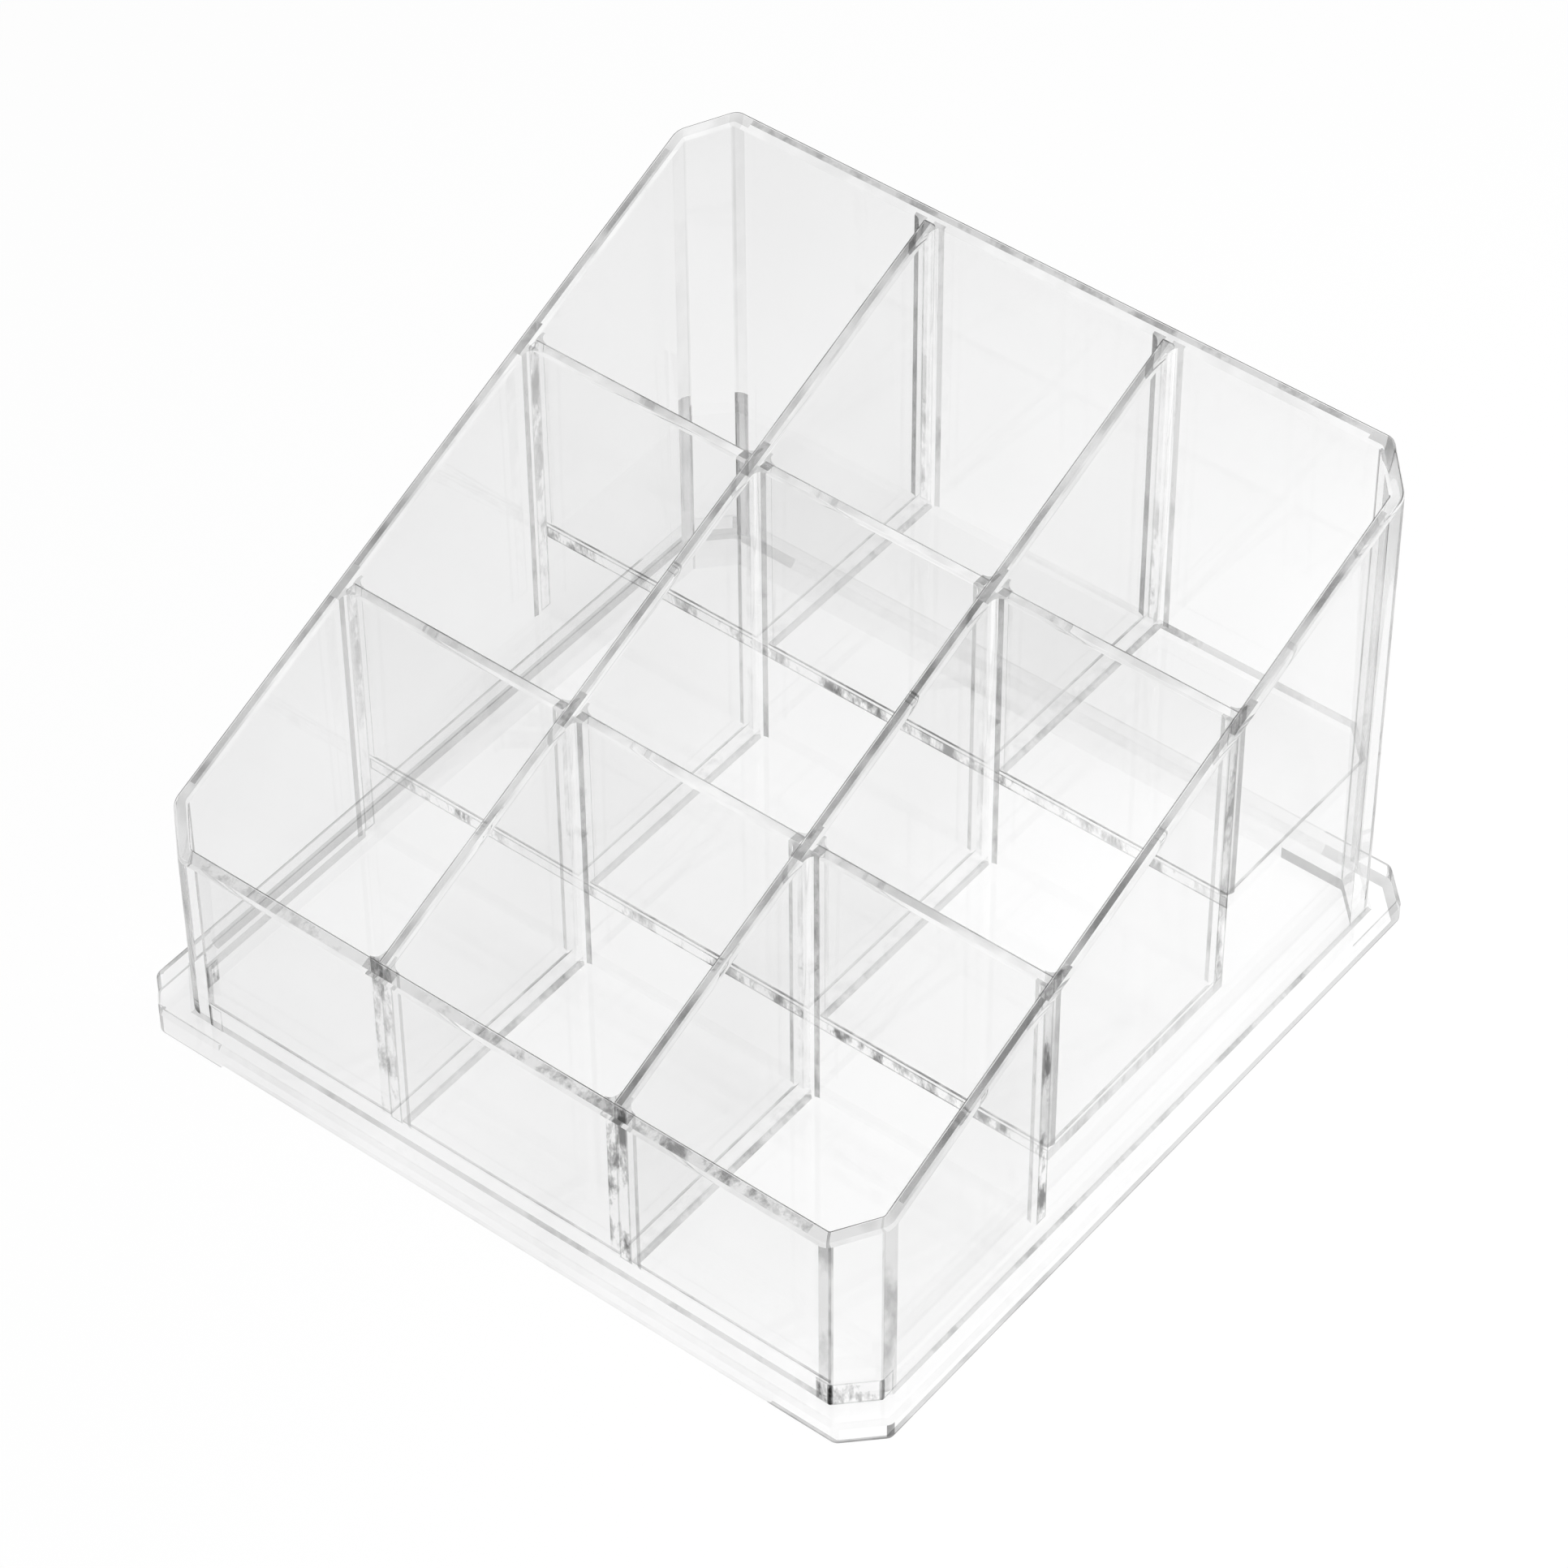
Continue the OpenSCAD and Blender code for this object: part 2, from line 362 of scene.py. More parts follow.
# Name, kind and numbers of each finish: clear, dark, least, most, grain and, for cement, turn and gleam
FINISHES = (
    ("clear_face", face_finish),
    ("cross_rim", lens_finish, 1.0, 0.5, 0.0, 0.8, 110),
    ("long_rim", lens_finish, 0.85, 0.2, 0.05, 1.0, 90),
    ("crossing_rim", cement_finish, 0.62, 0.3, 0.1, 0.9, 400),
    ("dark_edge", lens_finish, 0.7, 0.1, 0.1, 0.9, 120),
    ("pale_edge", lens_finish, 1.0, 0.6, 0.0, 0.4, 120),
    ("plinth_edge", cement_finish, 0.95, 0.85, 0.0, 0.5, 90),
    # painted contact shadow along the plinth's foot
    ("plinth_foot_shadow", cement_finish, 0.76, 0.55, 0.1, 0.9, 60),
    ("cement_fillet", cement_finish, 1.0, 0.35, 0.0, 0.1, 150, 0.7, 0.04),
    ("pale_bend", cement_finish, 0.95, 0.8, 0.0, 0.6, 60),
    ("deep_bend", lens_finish, 0.85, 0.4, 0.1, 0.7, 110),
    ("cemented_joint", cement_finish, 0.99, 0.2, 0.0, 1.0, 300),
    ("joint_line", cement_finish, 0.8, 0.25, 0.1, 1.0, 150),
    ("bonded_foot", cement_finish, 1.0, 0.8, 0.1, 0.9, 300),
    ("foot_line", cement_finish, 0.84, 0.5, 0.1, 0.9, 120),
    ("bonded_seam", cement_finish, 1.0, 0.99, 0.0, 0.3, 120),
    ("upright_line", cement_finish, 0.74, 0.35, 0.0, 0.8, 150),
    ("dark_line", cement_finish, 0.5, 0.25, 0.0, 0.9, 150),
    ("gleaming_cement", cement_finish, 1.0, 0.8, 0.0, 0.3, 150, 0.0, 0.6),
    ("front_rim", cement_finish, 0.88, 0.3, 0.05, 1.0, 220),
    ("front_joint", cement_finish, 0.97, 0.08, 0.0, 1.0, 300),
)


def finishes():
    """Materials of the rows of FINISHES, each made once."""
    made = bpy.data.materials
    return [made.get(name) or kind(name, *numbers) for name, kind, *numbers in FINISHES]


# Meshes from the frame

def cad_mesh(node):
    """The CAD node's own faces, with its flat faces in one piece each."""
    mesh = bmesh.new()
    mesh.from_mesh(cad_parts[node].data)
    bmesh.ops.remove_doubles(mesh, verts=mesh.verts, dist=WELD)
    bmesh.ops.dissolve_limit(
        mesh, angle_limit=math.radians(SLACK), verts=mesh.verts, edges=mesh.edges)
    mesh.normal_update()
    return mesh


def solid_trees():
    """A tree of each CAD node's triangles, to find out what is inside it."""
    trees = {}
    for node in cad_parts:
        mesh = cad_mesh(node)
        bmesh.ops.triangulate(mesh, faces=mesh.faces)
        trees[node] = BVHTree.FromBMesh(mesh)
        mesh.free()
    return trees


TREES = solid_trees()


def is_inside(tree, point):
    """Whether a point is inside a closed mesh, from how often a ray leaves it."""
    ray = Vector((0.31, 0.57, 0.76)).normalized()
    passes = 0
    start = point.copy()
    hit = tree.ray_cast(start, ray)[0]
    while hit is not None:
        passes += 1
        start = hit + ray * WELD
        hit = tree.ray_cast(start, ray)[0]
    return passes % 2 == 1


def middle(node):
    """Middle of a CAD node's box."""
    low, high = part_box(node)
    return (low + high) / 2


def runs_back(node):
    """Whether a wall runs from the front to the back."""
    return node in DIVIDERS + ("left_wall", "right_wall")


def half_crossing():
    """Half the length of rim that a crossing takes up: half a wall and a fillet."""
    return HALF_WALL + bpy.context.scene.organizer_sizes.fillet


def cut(mesh, place, normal, faces=None):
    """Cuts the mesh, or only these faces of it, by a plane, so that the finish can change there."""
    faces = list(mesh.faces) if faces is None else faces
    edges = dict.fromkeys(edge for face in faces for edge in face.edges)
    verts = dict.fromkeys(vert for face in faces for vert in face.verts)
    bmesh.ops.bisect_plane(
        mesh, geom=[*faces, *edges, *verts], plane_co=place, plane_no=normal, dist=WELD)


def rim_cuts(node):
    """Planes that cut a wall's rim: along it where it is in two tones, and beside each crossing."""
    half = half_crossing()
    if runs_back(node):
        yield (middle(node).x + PALE_SIDE, 0, 0), (1, 0, 0)
        for y in (middle(riser).y for riser in RISERS):
            yield (0, y - half, 0), (0, 1, 0)
            yield (0, y + half, 0), (0, 1, 0)
        return
    if node == "back_wall":
        yield (0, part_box(node)[1].y - BACK_LINE, 0), (0, 1, 0)
    for x in (middle(divider).x for divider in DIVIDERS):
        yield (x - half, 0, 0), (1, 0, 0)
        yield (x + half, 0, 0), (1, 0, 0)


# Finish of each face

def at_crossing(centre, node):
    """Whether a place on a wall's rim lies where an inner wall crosses it or ends on it."""
    half = half_crossing()
    if runs_back(node):
        return any(abs(centre.y - middle(riser).y) < half for riser in RISERS)
    if node in CORNERS or node == "back_wall":
        return False
    return any(abs(centre.x - middle(divider).x) < half for divider in DIVIDERS)


def mark_faces(mesh, node):
    """Gives each face its finish: bonded where it lies on another piece, a bend or a rim elsewhere."""
    for face in mesh.faces:
        point = face.calc_center_median() + face.normal * PROBE
        touched = [name for name, tree in TREES.items() if name != node and is_inside(tree, point)]
        if touched:
            face.material_index = joint_mark(face, node, touched)
        # painted shade: the foot strip under the rear floor takes a dark line finish
        elif in_painted_foot_shade(face, node):
            face.material_index = DARK_LINE
        elif is_curved(face):
            face.material_index = bend_mark(face, node)
        elif node == "front_left_plinth_corner" and is_facet(face):
            face.material_index = JOINT
        elif face.normal.z > STRAIGHT and node in RIMMED:
            face.material_index = rim_mark(face, node)
        else:
            face.material_index = FACE


def joint_mark(face, node, touched):
    """Finish of a bonded face: strong at step edges and upright joints, weak round the foot."""
    if node in OUTSIDE and all(name in OUTSIDE for name in touched):
        return SEAM
    if node in FLOORS:
        if face.normal.x > STRAIGHT and node != "front_floor":
            return FOOT_LINE if node == "middle_floor" else FOOT
        return JOINT if face.normal.y < -STRAIGHT and node != "front_floor" else SEAM
    if face.normal.z < -STRAIGHT:
        return FOOT if node in DIVIDERS else SEAM
    if all(name in RISERS + DIVIDERS for name in (node, *touched)):
        return FOOT
    return JOINT


def in_painted_foot_shade(face, node):
    """Whether a face is in the strip of painted shade inside the back wall's foot, in the right corner
    under the rear floor.
    """
    centre = face.calc_center_median()
    inner = node in SHADE_STRIPPED and face.normal.y < -TURNED
    return inner and centre.z < SHADE_STRIP_HEIGHT and centre.x > SHADE_STRIP_START


def is_curved(face):
    """Whether an upright face belongs to a bend: it looks along no side and along no facet."""
    turn = math.degrees(math.atan2(face.normal.y, face.normal.x)) % EIGHTH_TURN
    return abs(face.normal.z) < TURNED and SLACK < turn < EIGHTH_TURN - SLACK


def is_facet(face):
    """Whether an upright face looks along 45 degrees, between two sides."""
    return min(abs(face.normal.x), abs(face.normal.y)) > FACET


def bend_mark(face, node):
    """Finish of a curved face, with painted light and shade by place: pale high up at the back left and in
    front on the right, else deep.
    """
    if node == "back_left_corner" and face.calc_center_median().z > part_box("rear_floor")[1].z:
        return BEND
    # painted shade on the part of the rounding that faces right
    if node == "front_right_plinth_corner":
        return DARK_LINE if face.normal.x > -face.normal.y else PLINTH_EDGE
    if node == "front_right_corner":
        return FOOT_LINE
    return DEEP_BEND


def rim_mark(face, node):
    """Finish of a rim: dark at a crossing, patchy in front, and in two tones on long walls and at the
    back, with painted shade on a long wall's left strip and on the back wall's back strip.
    """
    centre = face.calc_center_median()
    if at_crossing(centre, node):
        return KNOT
    if node == "front_wall":
        return FRONT_RIM
    if node == "back_wall":
        return UPRIGHT_LINE if centre.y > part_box(node)[1].y - BACK_LINE else PALE_EDGE
    return LONG_RIM if runs_back(node) and centre.x < middle(node).x + PALE_SIDE else RIM


def line_joints(mesh):
    """Gives each bonded face a narrow border, where the cement has gathered."""
    joints = [face for face in mesh.faces if face.material_index == JOINT]
    border = bmesh.ops.inset_individual(
        mesh, faces=joints, thickness=CEMENT_LINE, use_even_offset=True)
    for face in border["faces"]:
        face.material_index = JOINT_LINE


def line_left(mesh, width):
    """Gives the top face a darker border of a width along its left sides, as painted shade."""
    tops = [face for face in mesh.faces if face.normal.z > STRAIGHT]
    border = bmesh.ops.inset_individual(mesh, faces=tops, thickness=width, use_even_offset=True)
    for face in border["faces"]:
        beside = (other for edge in face.edges for other in edge.link_faces)
        if any(is_free_left(other) for other in beside):
            face.material_index = UPRIGHT_LINE


def is_free_left(face):
    """Whether a face is upright, looks to the left and isn't bonded."""
    left = abs(face.normal.z) < TURNED and face.normal.x < -WELL_TURNED
    return left and face.material_index not in BONDED


def lighten_front(mesh, dark):
    """Gives the dark rounding, painted shade, the plain plinth finish where it faces the front or the
    right.
    """
    for face in mesh.faces:
        forward = face.normal.x > WELL_TURNED or face.normal.y < -WELL_TURNED
        square = min(abs(face.normal.x), abs(face.normal.y)) < SQUARE
        if face.material_index == dark and forward and square:
            face.material_index = PLINTH_EDGE


def free_edges(mesh, up):
    """Edges between an upright face and one that looks up (1) or down (-1), both of them free."""
    picked = []
    for edge in mesh.edges:
        if len(edge.link_faces) != 2:
            continue
        level, upright = sorted(edge.link_faces, key=lambda face: -up * face.normal.z)
        free = not BONDED & {level.material_index, upright.material_index}
        if up * level.normal.z > STRAIGHT and abs(upright.normal.z) < TURNED and free:
            picked.append(edge)
    return picked


def soften(mesh, edges, radius, front_finish, back_finish):
    """Rounds edges, with one finish to the front and right and another to the back and left; where they
    differ, the back and left one is painted shade.
    """
    if not edges:
        return
    rounded = bmesh.ops.bevel(
        mesh, geom=edges, offset=radius, offset_type="OFFSET",
        segments=bpy.context.scene.organizer_sizes.segments,
        profile=0.5, affect="EDGES", clamp_overlap=True)
    mesh.normal_update()
    for face in rounded["faces"]:
        front = face.normal.x - face.normal.y > 0
        face.material_index = front_finish if front else back_finish


# Pieces

def add_piece(name, mesh, replaces=()):
    """Turns a mesh into a piece of the organizer, with the materials of the finishes it uses."""
    data = bpy.data.meshes.new(name)
    used = sorted({face.material_index for face in mesh.faces})
    for face in mesh.faces:
        face.material_index = used.index(face.material_index)
    mesh.to_mesh(data)
    mesh.free()
    made = finishes()
    for index in used:
        data.materials.append(made[index])
    data.polygons.foreach_set("use_smooth", [True] * len(data.polygons))
    data.set_sharp_from_angle(angle=SHARP_ANGLE)
    piece = bpy.data.objects.new(name, data)
    bpy.context.scene.collection.objects.link(piece)
    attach(piece, BODY)
    if replaces:
        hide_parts(*replaces)


def sheet_piece(node):
    """A wall, corner strip, riser or divider with rounded rim edges and a finish for every face."""
    mesh = cad_mesh(node)
    for place, normal in rim_cuts(node):
        cut(mesh, place, normal, [face for face in mesh.faces if face.normal.z > STRAIGHT])
    if node in CORNERS:
        for above in ("rear_floor", "front_plinth_rail"):
            cut(mesh, (0, 0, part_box(above)[1].z), (0, 0, 1))
    # cuts out the strip of painted shade at the foot, under the rear floor
    if node in SHADE_STRIPPED:
        cut(mesh, (0, 0, SHADE_STRIP_HEIGHT), (0, 0, 1))
        cut(mesh, (SHADE_STRIP_START, 0, 0), (1, 0, 0))
    mark_faces(mesh, node)
    line_joints(mesh)
    # painted shade: rim roundings that face back and left take a dark finish, those that face front and
    # right a pale one
    outer = DARK_LINE if node in WALLS + CORNERS else DARK_EDGE
    rounding = bpy.context.scene.organizer_sizes.rim_round
    soften(mesh, free_edges(mesh, 1), rounding, PALE_EDGE, outer)
    add_piece(node + "_clear", mesh, [node])


def rim_height(y):
    """Height of the sloping rim plane over the line at y."""
    front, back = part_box("front_wall")[1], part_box("back_wall")[1]
    return front.z + (back.z - front.z) * (y - front.y) / (back.y - front.y)


def fillet_section(radius, sink):
    """Section of a fillet in the angle at 0, 0: the sunk corner, the hollow arc and the sunk end."""
    steps = bpy.context.scene.organizer_sizes.segments
    section = [(-sink, -sink), (radius, -sink)]
    for step in range(steps + 1):
        turn = 0.5 * math.pi * step / steps
        section.append((radius * (1 - math.sin(turn)), radius * (1 - math.cos(turn))))
    section.append((-sink, radius))
    return section


def add_fillet(mesh, corner, along_x, along_y, base, top, marks):
    """Upright fillet in the angle at corner, whose legs run to along_x and along_y.

    It stands from base to top(y), and the marks are the finishes of its thirds, from the cross
    wall to the long wall.
    """
    sizes = bpy.context.scene.organizer_sizes
    steps = sizes.segments
    section = fillet_section(sizes.fillet, FILLET_SINK)
    count = len(section)
    # Step of the arc that each side of the section is; the arc starts at the third point
    order = [i - 2 for i in range(count)]
    if along_x * along_y < 0:
        section.reverse()
        order = [count - 4 - i for i in range(count)]
    places = [(corner[0] + along_x * u, corner[1] + along_y * v) for u, v in section]
    low = [mesh.verts.new((x, y, base)) for x, y in places]
    high = [mesh.verts.new((x, y, top(y))) for x, y in places]
    mesh.faces.new(reversed(low)).material_index = SEAM
    mesh.faces.new(high).material_index = FOOT_LINE
    for i in range(count):
        j = (i + 1) % count
        side = mesh.faces.new((low[i], low[j], high[j], high[i]))
        step = order[i]
        side.material_index = marks[step * 3 // steps] if 0 <= step < steps else SEAM


def add_ring(mesh, outline, base, radius, inward, marks):
    """Fillet along a closed outline at one height, on its inner (1) or outer (-1) side.

    The marks are the finishes of the outline's sides.
    """
    steps = bpy.context.scene.organizer_sizes.segments
    section = fillet_section(radius, RING_SINK)
    count = len(outline)
    rings = []
    for i in range(count):
        before, here, after = (Vector(outline[j % count]) for j in (i - 1, i, i + 1))
        first = (here - before).normalized()
        second = (after - here).normalized()
        normals = [Vector((-way.y, way.x)) * inward for way in (first, second)]
        mitre = (normals[0] + normals[1]) / (1 + normals[0].dot(normals[1]))
        rings.append([
            mesh.verts.new((here.x + mitre.x * u, here.y + mitre.y * u, base + v))
            for u, v in section])
    for i in range(count):
        ring, following = rings[i], rings[(i + 1) % count]
        for k in range(len(section)):
            n = (k + 1) % len(section)
            corners = (ring[k], following[k], following[n], ring[n])
            side = mesh.faces.new(corners if inward < 0 else tuple(reversed(corners)))
            side.material_index = marks[i] if 2 <= k < 2 + steps else SEAM


def cut_outline(left, right, front, back, legs):
    """Outline of a bay, anticlockwise from the front left, with a cut corner for each leg above 0."""
    corners = (
        ((left, front), (0, 1), (1, 0)),
        ((right, front), (-1, 0), (0, 1)),
        ((right, back), (0, -1), (-1, 0)),
        ((left, back), (1, 0), (0, -1)),
    )
    outline = []
    for ((x, y), first, second), leg in zip(corners, legs):
        if leg:
            outline.append((x + first[0] * leg, y + first[1] * leg))
            outline.append((x + second[0] * leg, y + second[1] * leg))
        else:
            outline.append((x, y))
    return outline


def side_marks(outline, front, right, back, left, corner=None):
    """Finish of each side of an anticlockwise outline.

    A cut corner has its own finish, or that of the left or right side next to it.
    """
    marks = []
    for i, (x, y) in enumerate(outline):
        far_x, far_y = outline[(i + 1) % len(outline)]
        if abs(far_y - y) < EQUAL:
            marks.append(front if far_x > x else back)
        elif corner is not None and abs(far_x - x) > EQUAL:
            marks.append(corner)
        else:
            marks.append(right if far_y > y else left)
    return marks


def wall_faces():
    """The x of the side walls' inner faces, and the y of the front and back walls' inner faces."""
    across = (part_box("left_wall")[1].x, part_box("right_wall")[0].x)
    along = (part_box("front_wall")[1].y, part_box("back_wall")[0].y)
    return across, along


def divider_faces():
    """The x of the left and right face of each divider."""
    return [(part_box(node)[0].x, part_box(node)[1].x) for node in DIVIDERS]


def floor_tops():
    return [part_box(node)[1].z for node in FLOORS]


def riser_marks(x, way, walls):
    """Finishes of the fillets in front of a riser and behind it, where it meets a long wall at x."""
    if x == walls[0]:
        return (SEAM, SEAM, UPRIGHT_LINE), (FILLET, FILLET, FILLET)
    if x == walls[1]:
        return (UPRIGHT_LINE, SEAM, SEAM), (FOOT_LINE, FOOT_LINE, DARK_LINE)
    if way < 0:
        return (UPRIGHT_LINE, SEAM, SEAM), (FILLET, FILLET, FILLET)
    return (UPRIGHT_LINE, GLEAM, GLEAM), (FILLET, FILLET, FILLET)


def riser_fillets(index):
    """Fillets in front of a riser and behind it, at the side walls and at both dividers."""
    walls = wall_faces()[0]
    floors = floor_tops()
    low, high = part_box(RISERS[index])
    angles = [(walls[0], 1), (walls[1], -1)]
    for left, right in divider_faces():
        angles += [(left, -1), (right, 1)]

    def front_top(y):
        return min(high.z, rim_height(y)) - RIM_GAP

    def back_top(y):
        return high.z - RIM_GAP

    mesh = bmesh.new()
    for x, way in angles:
        near, far = riser_marks(x, way, walls)
        add_fillet(mesh, (x, low.y), way, -1, floors[index], front_top, near)
        add_fillet(mesh, (x, high.y), way, 1, floors[index + 1], back_top, far)
    return mesh


def divider_fillets(faces):
    """Fillets on both faces of a divider, where it ends on the front wall and on the back wall."""
    front, back = wall_faces()[1]
    floors = floor_tops()
    ends = (
        (faces[0], -1, (FRONT_JOINT, FRONT_JOINT, SEAM), (DARK_LINE, DARK_LINE, SEAM)),
        (faces[1], 1, (UPRIGHT_LINE, SEAM, SEAM), (FOOT_LINE, GLEAM, GLEAM)),
    )

    def under_rim(y):
        return rim_height(y) - RIM_GAP

    mesh = bmesh.new()
    for x, way, at_front, at_back in ends:
        add_fillet(mesh, (x, front), way, 1, floors[0], under_rim, at_front)
        add_fillet(mesh, (x, back), way, -1, floors[2], under_rim, at_back)
    return mesh


def floor_fillets(row):
    """Fillets round the floor of each bay in a row."""
    walls, (front, back) = wall_faces()
    dividers = divider_faces()
    columns = (
        (walls[0], dividers[0][0]), (dividers[0][1], dividers[1][0]), (dividers[1][1], walls[1]))
    lower, upper = (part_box(node) for node in RISERS)
    near, far = ((front, lower[0].y), (lower[1].y, upper[0].y), (upper[1].y, back))[row]
    at_front, at_back = row == 0, row == 2
    radius = bpy.context.scene.organizer_sizes.floor_fillet
    mesh = bmesh.new()
    for column, (left, right) in enumerate(columns):
        at_left, at_right = column == 0, column == 2
        cut_corners = (
            at_front and at_left, at_front and at_right, at_back and at_right, at_back and at_left)
        outline = cut_outline(left, right, near, far, [INNER_LEG * is_cut for is_cut in cut_corners])
        marks = side_marks(
            outline,
            front=FOOT_LINE if at_front else JOINT_LINE,
            right=SEAM if at_right and at_front else FOOT_LINE,
            back=FOOT_LINE if at_back and at_right else SEAM,
            left=SEAM if at_left and not at_front else FOOT_LINE)
        add_ring(mesh, outline, floor_tops()[row], radius, 1, marks)
    return mesh


def plinth_ring():
    """Fillet between the plinth and the walls."""
    left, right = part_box("left_wall")[0].x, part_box("right_wall")[1].x
    front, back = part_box("front_wall")[0].y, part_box("back_wall")[1].y
    outline = cut_outline(left, right, front, back, [OUTER_LEG] * 4)
    marks = side_marks(
        outline, front=FOOT_LINE, right=FOOT_LINE, back=SEAM, left=FOOT_LINE, corner=PLINTH_EDGE)
    radius = bpy.context.scene.organizer_sizes.plinth_fillet
    mesh = bmesh.new()
    add_ring(mesh, outline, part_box("front_plinth_rail")[1].z, radius, -1, marks)
    return mesh


# Stage

def seen_rays(mix):
    """Rays that end up in the picture, and those of them that have come through a sheet."""
    path = mix.node("ShaderNodeLightPath")
    camera, glossy, bent, depth = (
        Value(mix, path.outputs[name])
        for name in ("Is Camera Ray", "Is Glossy Ray", "Is Transmission Ray", "Transparent Depth"))
    return camera + glossy + bent, mix.between(depth, 0, 1)


def add_table(scene):
    """Pale table, which shows white to the camera apart from the organizer's shadow."""
    mesh = bmesh.new()
    bmesh.ops.create_grid(mesh, x_segments=1, y_segments=1, size=TABLE_REACH)
    data = bpy.data.meshes.new("table")
    mesh.to_mesh(data)
    mesh.free()
    table = bpy.data.objects.new("table", data)
    table.location.z = -TABLE_DROP
    scene.collection.objects.link(table)
    material, mix = new_finish("table_paper")
    seen, behind_sheet = seen_rays(mix)
    colour = tuple(scene.organizer_colours.floor_colour)
    paper = mix.value("ShaderNodeBsdfDiffuse", inputs={"Color": colour})
    glow = mix.value("ShaderNodeEmission", inputs={"Color": (1, 1, 1, 1), "Strength": 1.0})
    share = seen * (TABLE_GLOW - behind_sheet * SHEET_SHADE)
    mix.node("ShaderNodeOutputMaterial", inputs={"Surface": mix.blend(share, paper, glow)})
    data.materials.append(material)


def light_world(scene):
    """Plain light from all round, and a white background."""
    world = bpy.data.worlds.new("studio")
    scene.world = world
    world.use_nodes = True
    mix = Recipe(world.node_tree)
    seen = seen_rays(mix)[0]
    plain, white = (
        mix.value("ShaderNodeBackground", inputs={"Color": (1, 1, 1, 1), "Strength": strength})
        for strength in (WORLD_LIGHT, 1.0))
    mix.node("ShaderNodeOutputWorld", inputs={"Surface": mix.blend(seen, plain, white)})


def add_lamp(name, place, size, energy):
    """Square lamp that shines on the organizer and doesn't show in its gloss."""
    lamp = bpy.data.lights.new(name, "AREA")
    lamp.size = size
    lamp.energy = energy
    stand = bpy.data.objects.new(name, lamp)
    stand.location = place
    stand.visible_glossy = False
    stand.rotation_euler = (-Vector(place)).to_track_quat("-Z", "Y").to_euler()
    bpy.context.scene.collection.objects.link(stand)


def add_camera(scene):
    """Camera at the photograph's angle."""
    studio = scene.organizer_studio
    azimuth, elevation = studio.azimuth, studio.elevation
    back = Vector((
        math.sin(azimuth) * math.cos(elevation),
        -math.cos(azimuth) * math.cos(elevation),
        math.sin(elevation),
    ))
    place = Vector(studio.aim) + back * studio.distance
    camera = bpy.data.cameras.new("camera")
    camera.sensor_width = SENSOR_WIDTH
    camera.lens = studio.lens
    camera.clip_end = VIEW_END
    eye = bpy.data.objects.new("camera", camera)
    scene.collection.objects.link(eye)
    turn = back.to_track_quat("Z", "Y").to_matrix().to_4x4()
    eye.matrix_world = Matrix.Translation(place) @ turn @ Matrix.Rotation(studio.roll, 4, "Z")
    scene.camera = eye


# Operators

class OrganizerStep:
    """Options of every step."""
    bl_options = {"REGISTER", "UNDO"}


class ORGANIZER_OT_walls(OrganizerStep, bpy.types.Operator):
    """Build the outer walls and their corner strips"""
    bl_idname = "organizer.walls"
    bl_label = "Walls"

    def execute(self, context):
        for node in WALLS + CORNERS:
            sheet_piece(node)
        return {"FINISHED"}


class ORGANIZER_OT_floors(OrganizerStep, bpy.types.Operator):
    """Build the three floors"""
    bl_idname = "organizer.floors"
    bl_label = "Floors"

    def execute(self, context):
        for node in FLOORS:
            mesh = cad_mesh(node)
            mark_faces(mesh, node)
            line_joints(mesh)
            add_piece(node + "_clear", mesh, [node])
        return {"FINISHED"}


class ORGANIZER_OT_inner_walls(OrganizerStep, bpy.types.Operator):
    """Build the risers and the long dividers"""
    bl_idname = "organizer.inner_walls"
    bl_label = "Risers and dividers"

    def execute(self, context):
        for node in RISERS + DIVIDERS:
            sheet_piece(node)
        return {"FINISHED"}


class ORGANIZER_OT_fillets(OrganizerStep, bpy.types.Operator):
    """Build the cement fillets in the inner angles"""
    bl_idname = "organizer.fillets"
    bl_label = "Cement fillets"

    def execute(self, context):
        for index, node in enumerate(RISERS):
            add_piece(node + "_fillets", riser_fillets(index))
        for node, faces in zip(DIVIDERS, divider_faces()):
            add_piece(node + "_fillets", divider_fillets(faces))
        for row, node in enumerate(FLOORS):
            add_piece(node + "_fillets", floor_fillets(row))
        return {"FINISHED"}


class ORGANIZER_OT_plinth(OrganizerStep, bpy.types.Operator):
    """Build the plinth rails, their corner blocks and their fillet"""
    bl_idname = "organizer.plinth"
    bl_label = "Plinth"

    def execute(self, context):
        sizes = context.scene.organizer_sizes
        for node in RAILS + PLINTH_CORNERS:
            mesh = cad_mesh(node)
            mark_faces(mesh, node)
            # painted contact shadow: the lower rounding of the side rails and plinth corners is dark, that
            # of the front and back rails pale
            foot = PLINTH_EDGE if node in ("front_plinth_rail", "back_plinth_rail") else PLINTH_FOOT_SHADOW
            # painted shade: the top rounding of the left rail and of two plinth corners is dark, and stays
            # dark only where it faces back and left
            dark = node in (
                "left_plinth_rail", "front_left_plinth_corner", "back_right_plinth_corner")
            upper = UPRIGHT_LINE if dark else PLINTH_EDGE
            if node == "front_left_plinth_corner":
                line_left(mesh, sizes.plinth_round + LEFT_LINE)
            soften(mesh, free_edges(mesh, 1), sizes.plinth_round, upper, upper)
            lighten_front(mesh, upper)
            soften(mesh, free_edges(mesh, -1), sizes.foot_round, foot, foot)
            add_piece(node + "_clear", mesh, [node])
        add_piece("plinth_fillet", plinth_ring())
        return {"FINISHED"}


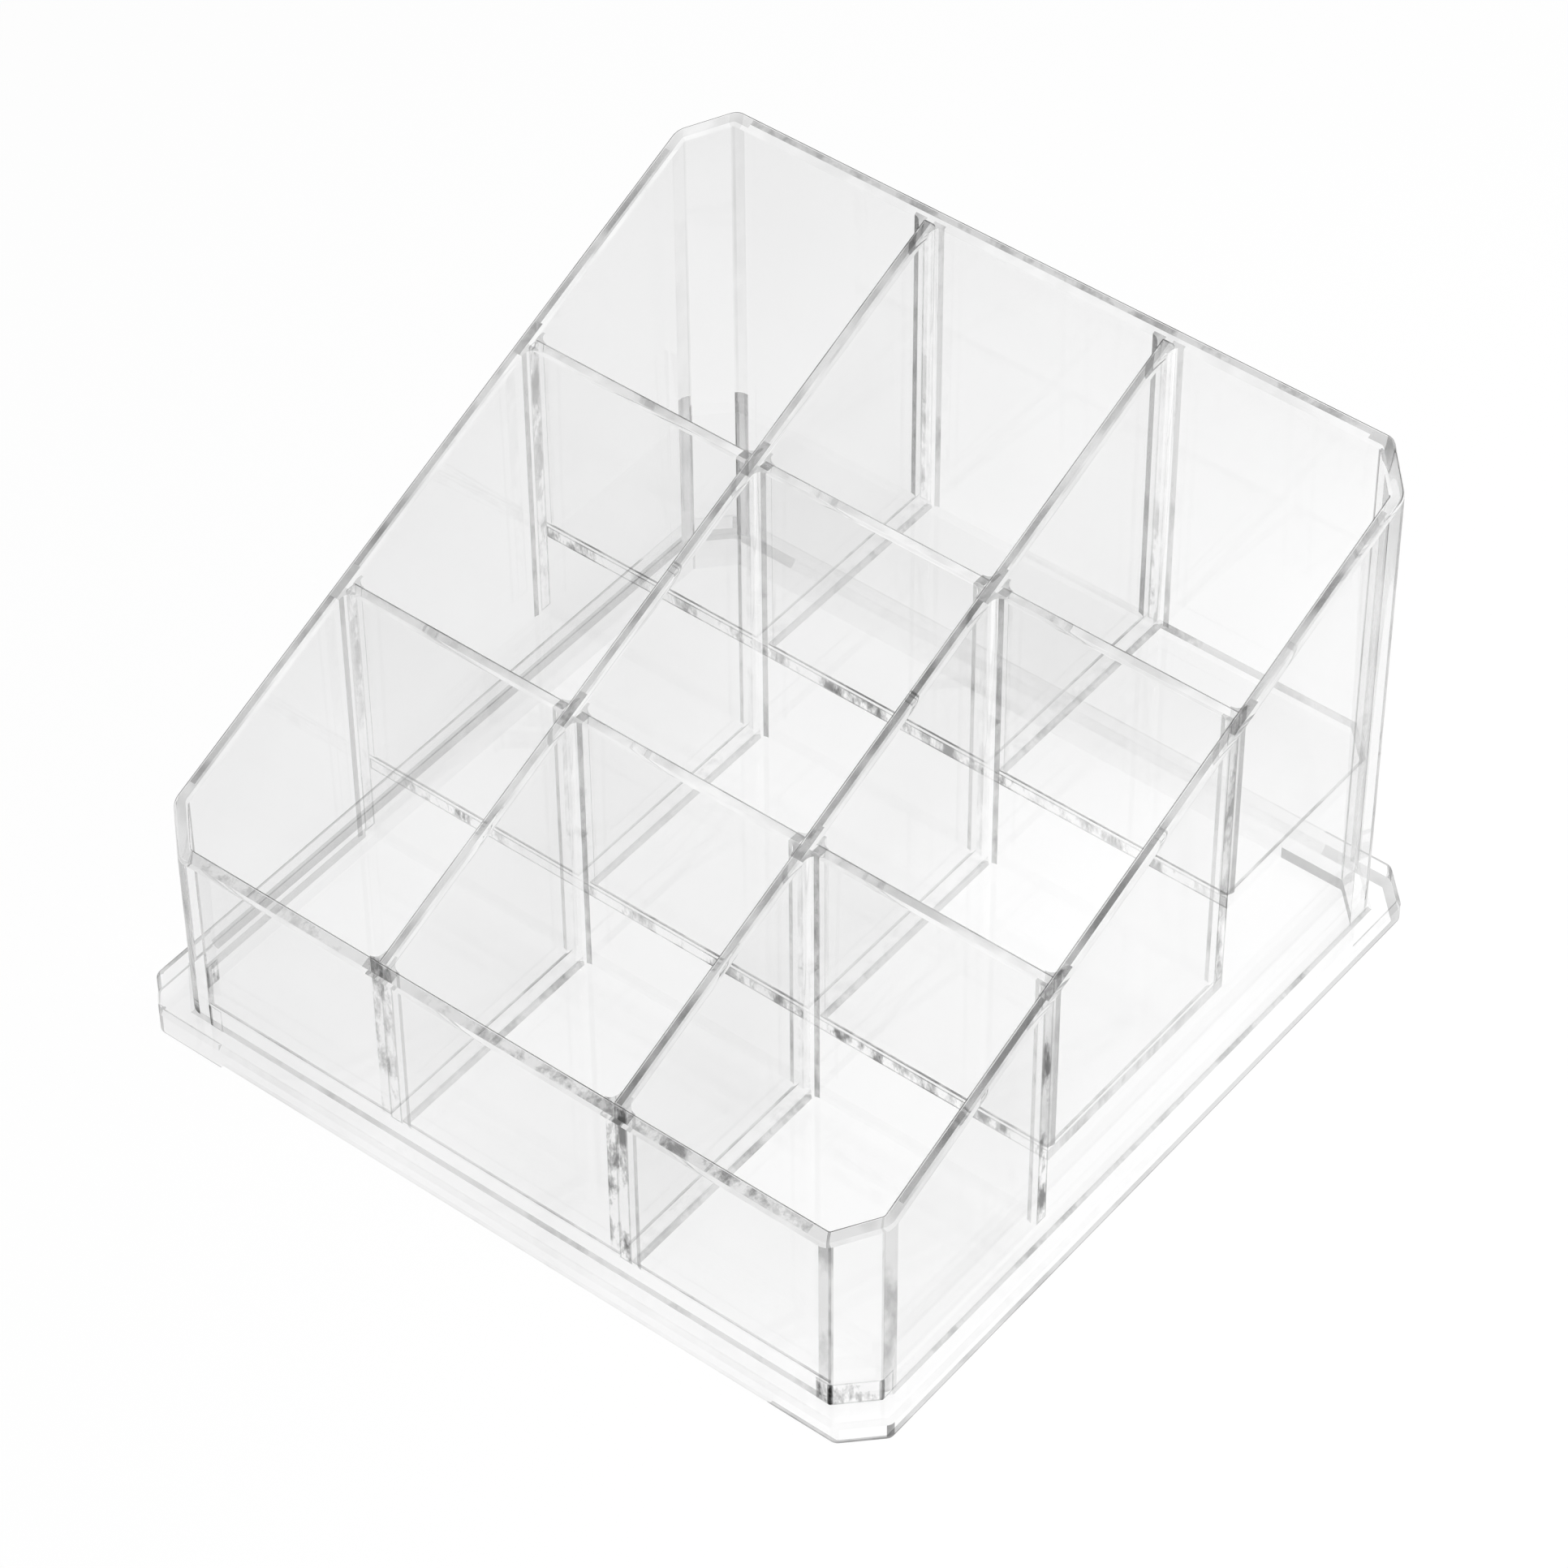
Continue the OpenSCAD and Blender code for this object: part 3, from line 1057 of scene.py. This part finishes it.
class ORGANIZER_OT_stage(OrganizerStep, bpy.types.Operator):
    """Set up the table, the light and the camera"""
    bl_idname = "organizer.stage"
    bl_label = "Stage"

    def execute(self, context):
        scene = context.scene
        add_table(scene)
        light_world(scene)
        add_lamp("key_lamp", place=(0.4, 0.06, 0.36), size=0.3, energy=3.3)
        add_lamp("fill_lamp", place=(-0.9, -0.7, 1.3), size=0.8, energy=2)
        add_camera(scene)
        scene.view_settings.view_transform = "Standard"
        for name, count in BOUNCES.items():
            setattr(scene.cycles, name, count)
        return {"FINISHED"}


STEPS = (
    ORGANIZER_OT_walls, ORGANIZER_OT_floors, ORGANIZER_OT_inner_walls,
    ORGANIZER_OT_fillets, ORGANIZER_OT_plinth, ORGANIZER_OT_stage,
)
GROUPS = {
    "organizer_sizes": OrganizerSizes,
    "organizer_colours": OrganizerColours,
    "organizer_studio": OrganizerStudio,
}


class ORGANIZER_PT_panel(bpy.types.Panel):
    """Sizes, colours and steps of the organizer"""
    bl_idname = "ORGANIZER_PT_panel"
    bl_label = "Organizer"
    bl_space_type = "VIEW_3D"
    bl_region_type = "UI"
    bl_category = "Organizer"

    def draw(self, context):
        layout = self.layout
        for name in GROUPS:
            group = getattr(context.scene, name)
            for key in group.bl_rna.properties.keys():
                if key not in ("rna_type", "name"):
                    layout.prop(group, key)
        for step in STEPS:
            layout.operator(step.bl_idname)


def register():
    for name, group in GROUPS.items():
        bpy.utils.register_class(group)
        setattr(bpy.types.Scene, name, PointerProperty(type=group))
    for step in STEPS:
        bpy.utils.register_class(step)
    bpy.utils.register_class(ORGANIZER_PT_panel)


def unregister():
    bpy.utils.unregister_class(ORGANIZER_PT_panel)
    for step in reversed(STEPS):
        bpy.utils.unregister_class(step)
    for name, group in reversed(GROUPS.items()):
        delattr(bpy.types.Scene, name)
        bpy.utils.unregister_class(group)


def main():
    register()
    bpy.ops.organizer.walls()
    bpy.ops.organizer.floors()
    bpy.ops.organizer.inner_walls()
    bpy.ops.organizer.fillets()
    bpy.ops.organizer.plinth()
    bpy.ops.organizer.stage()


if __name__ == "__main__":
    main()
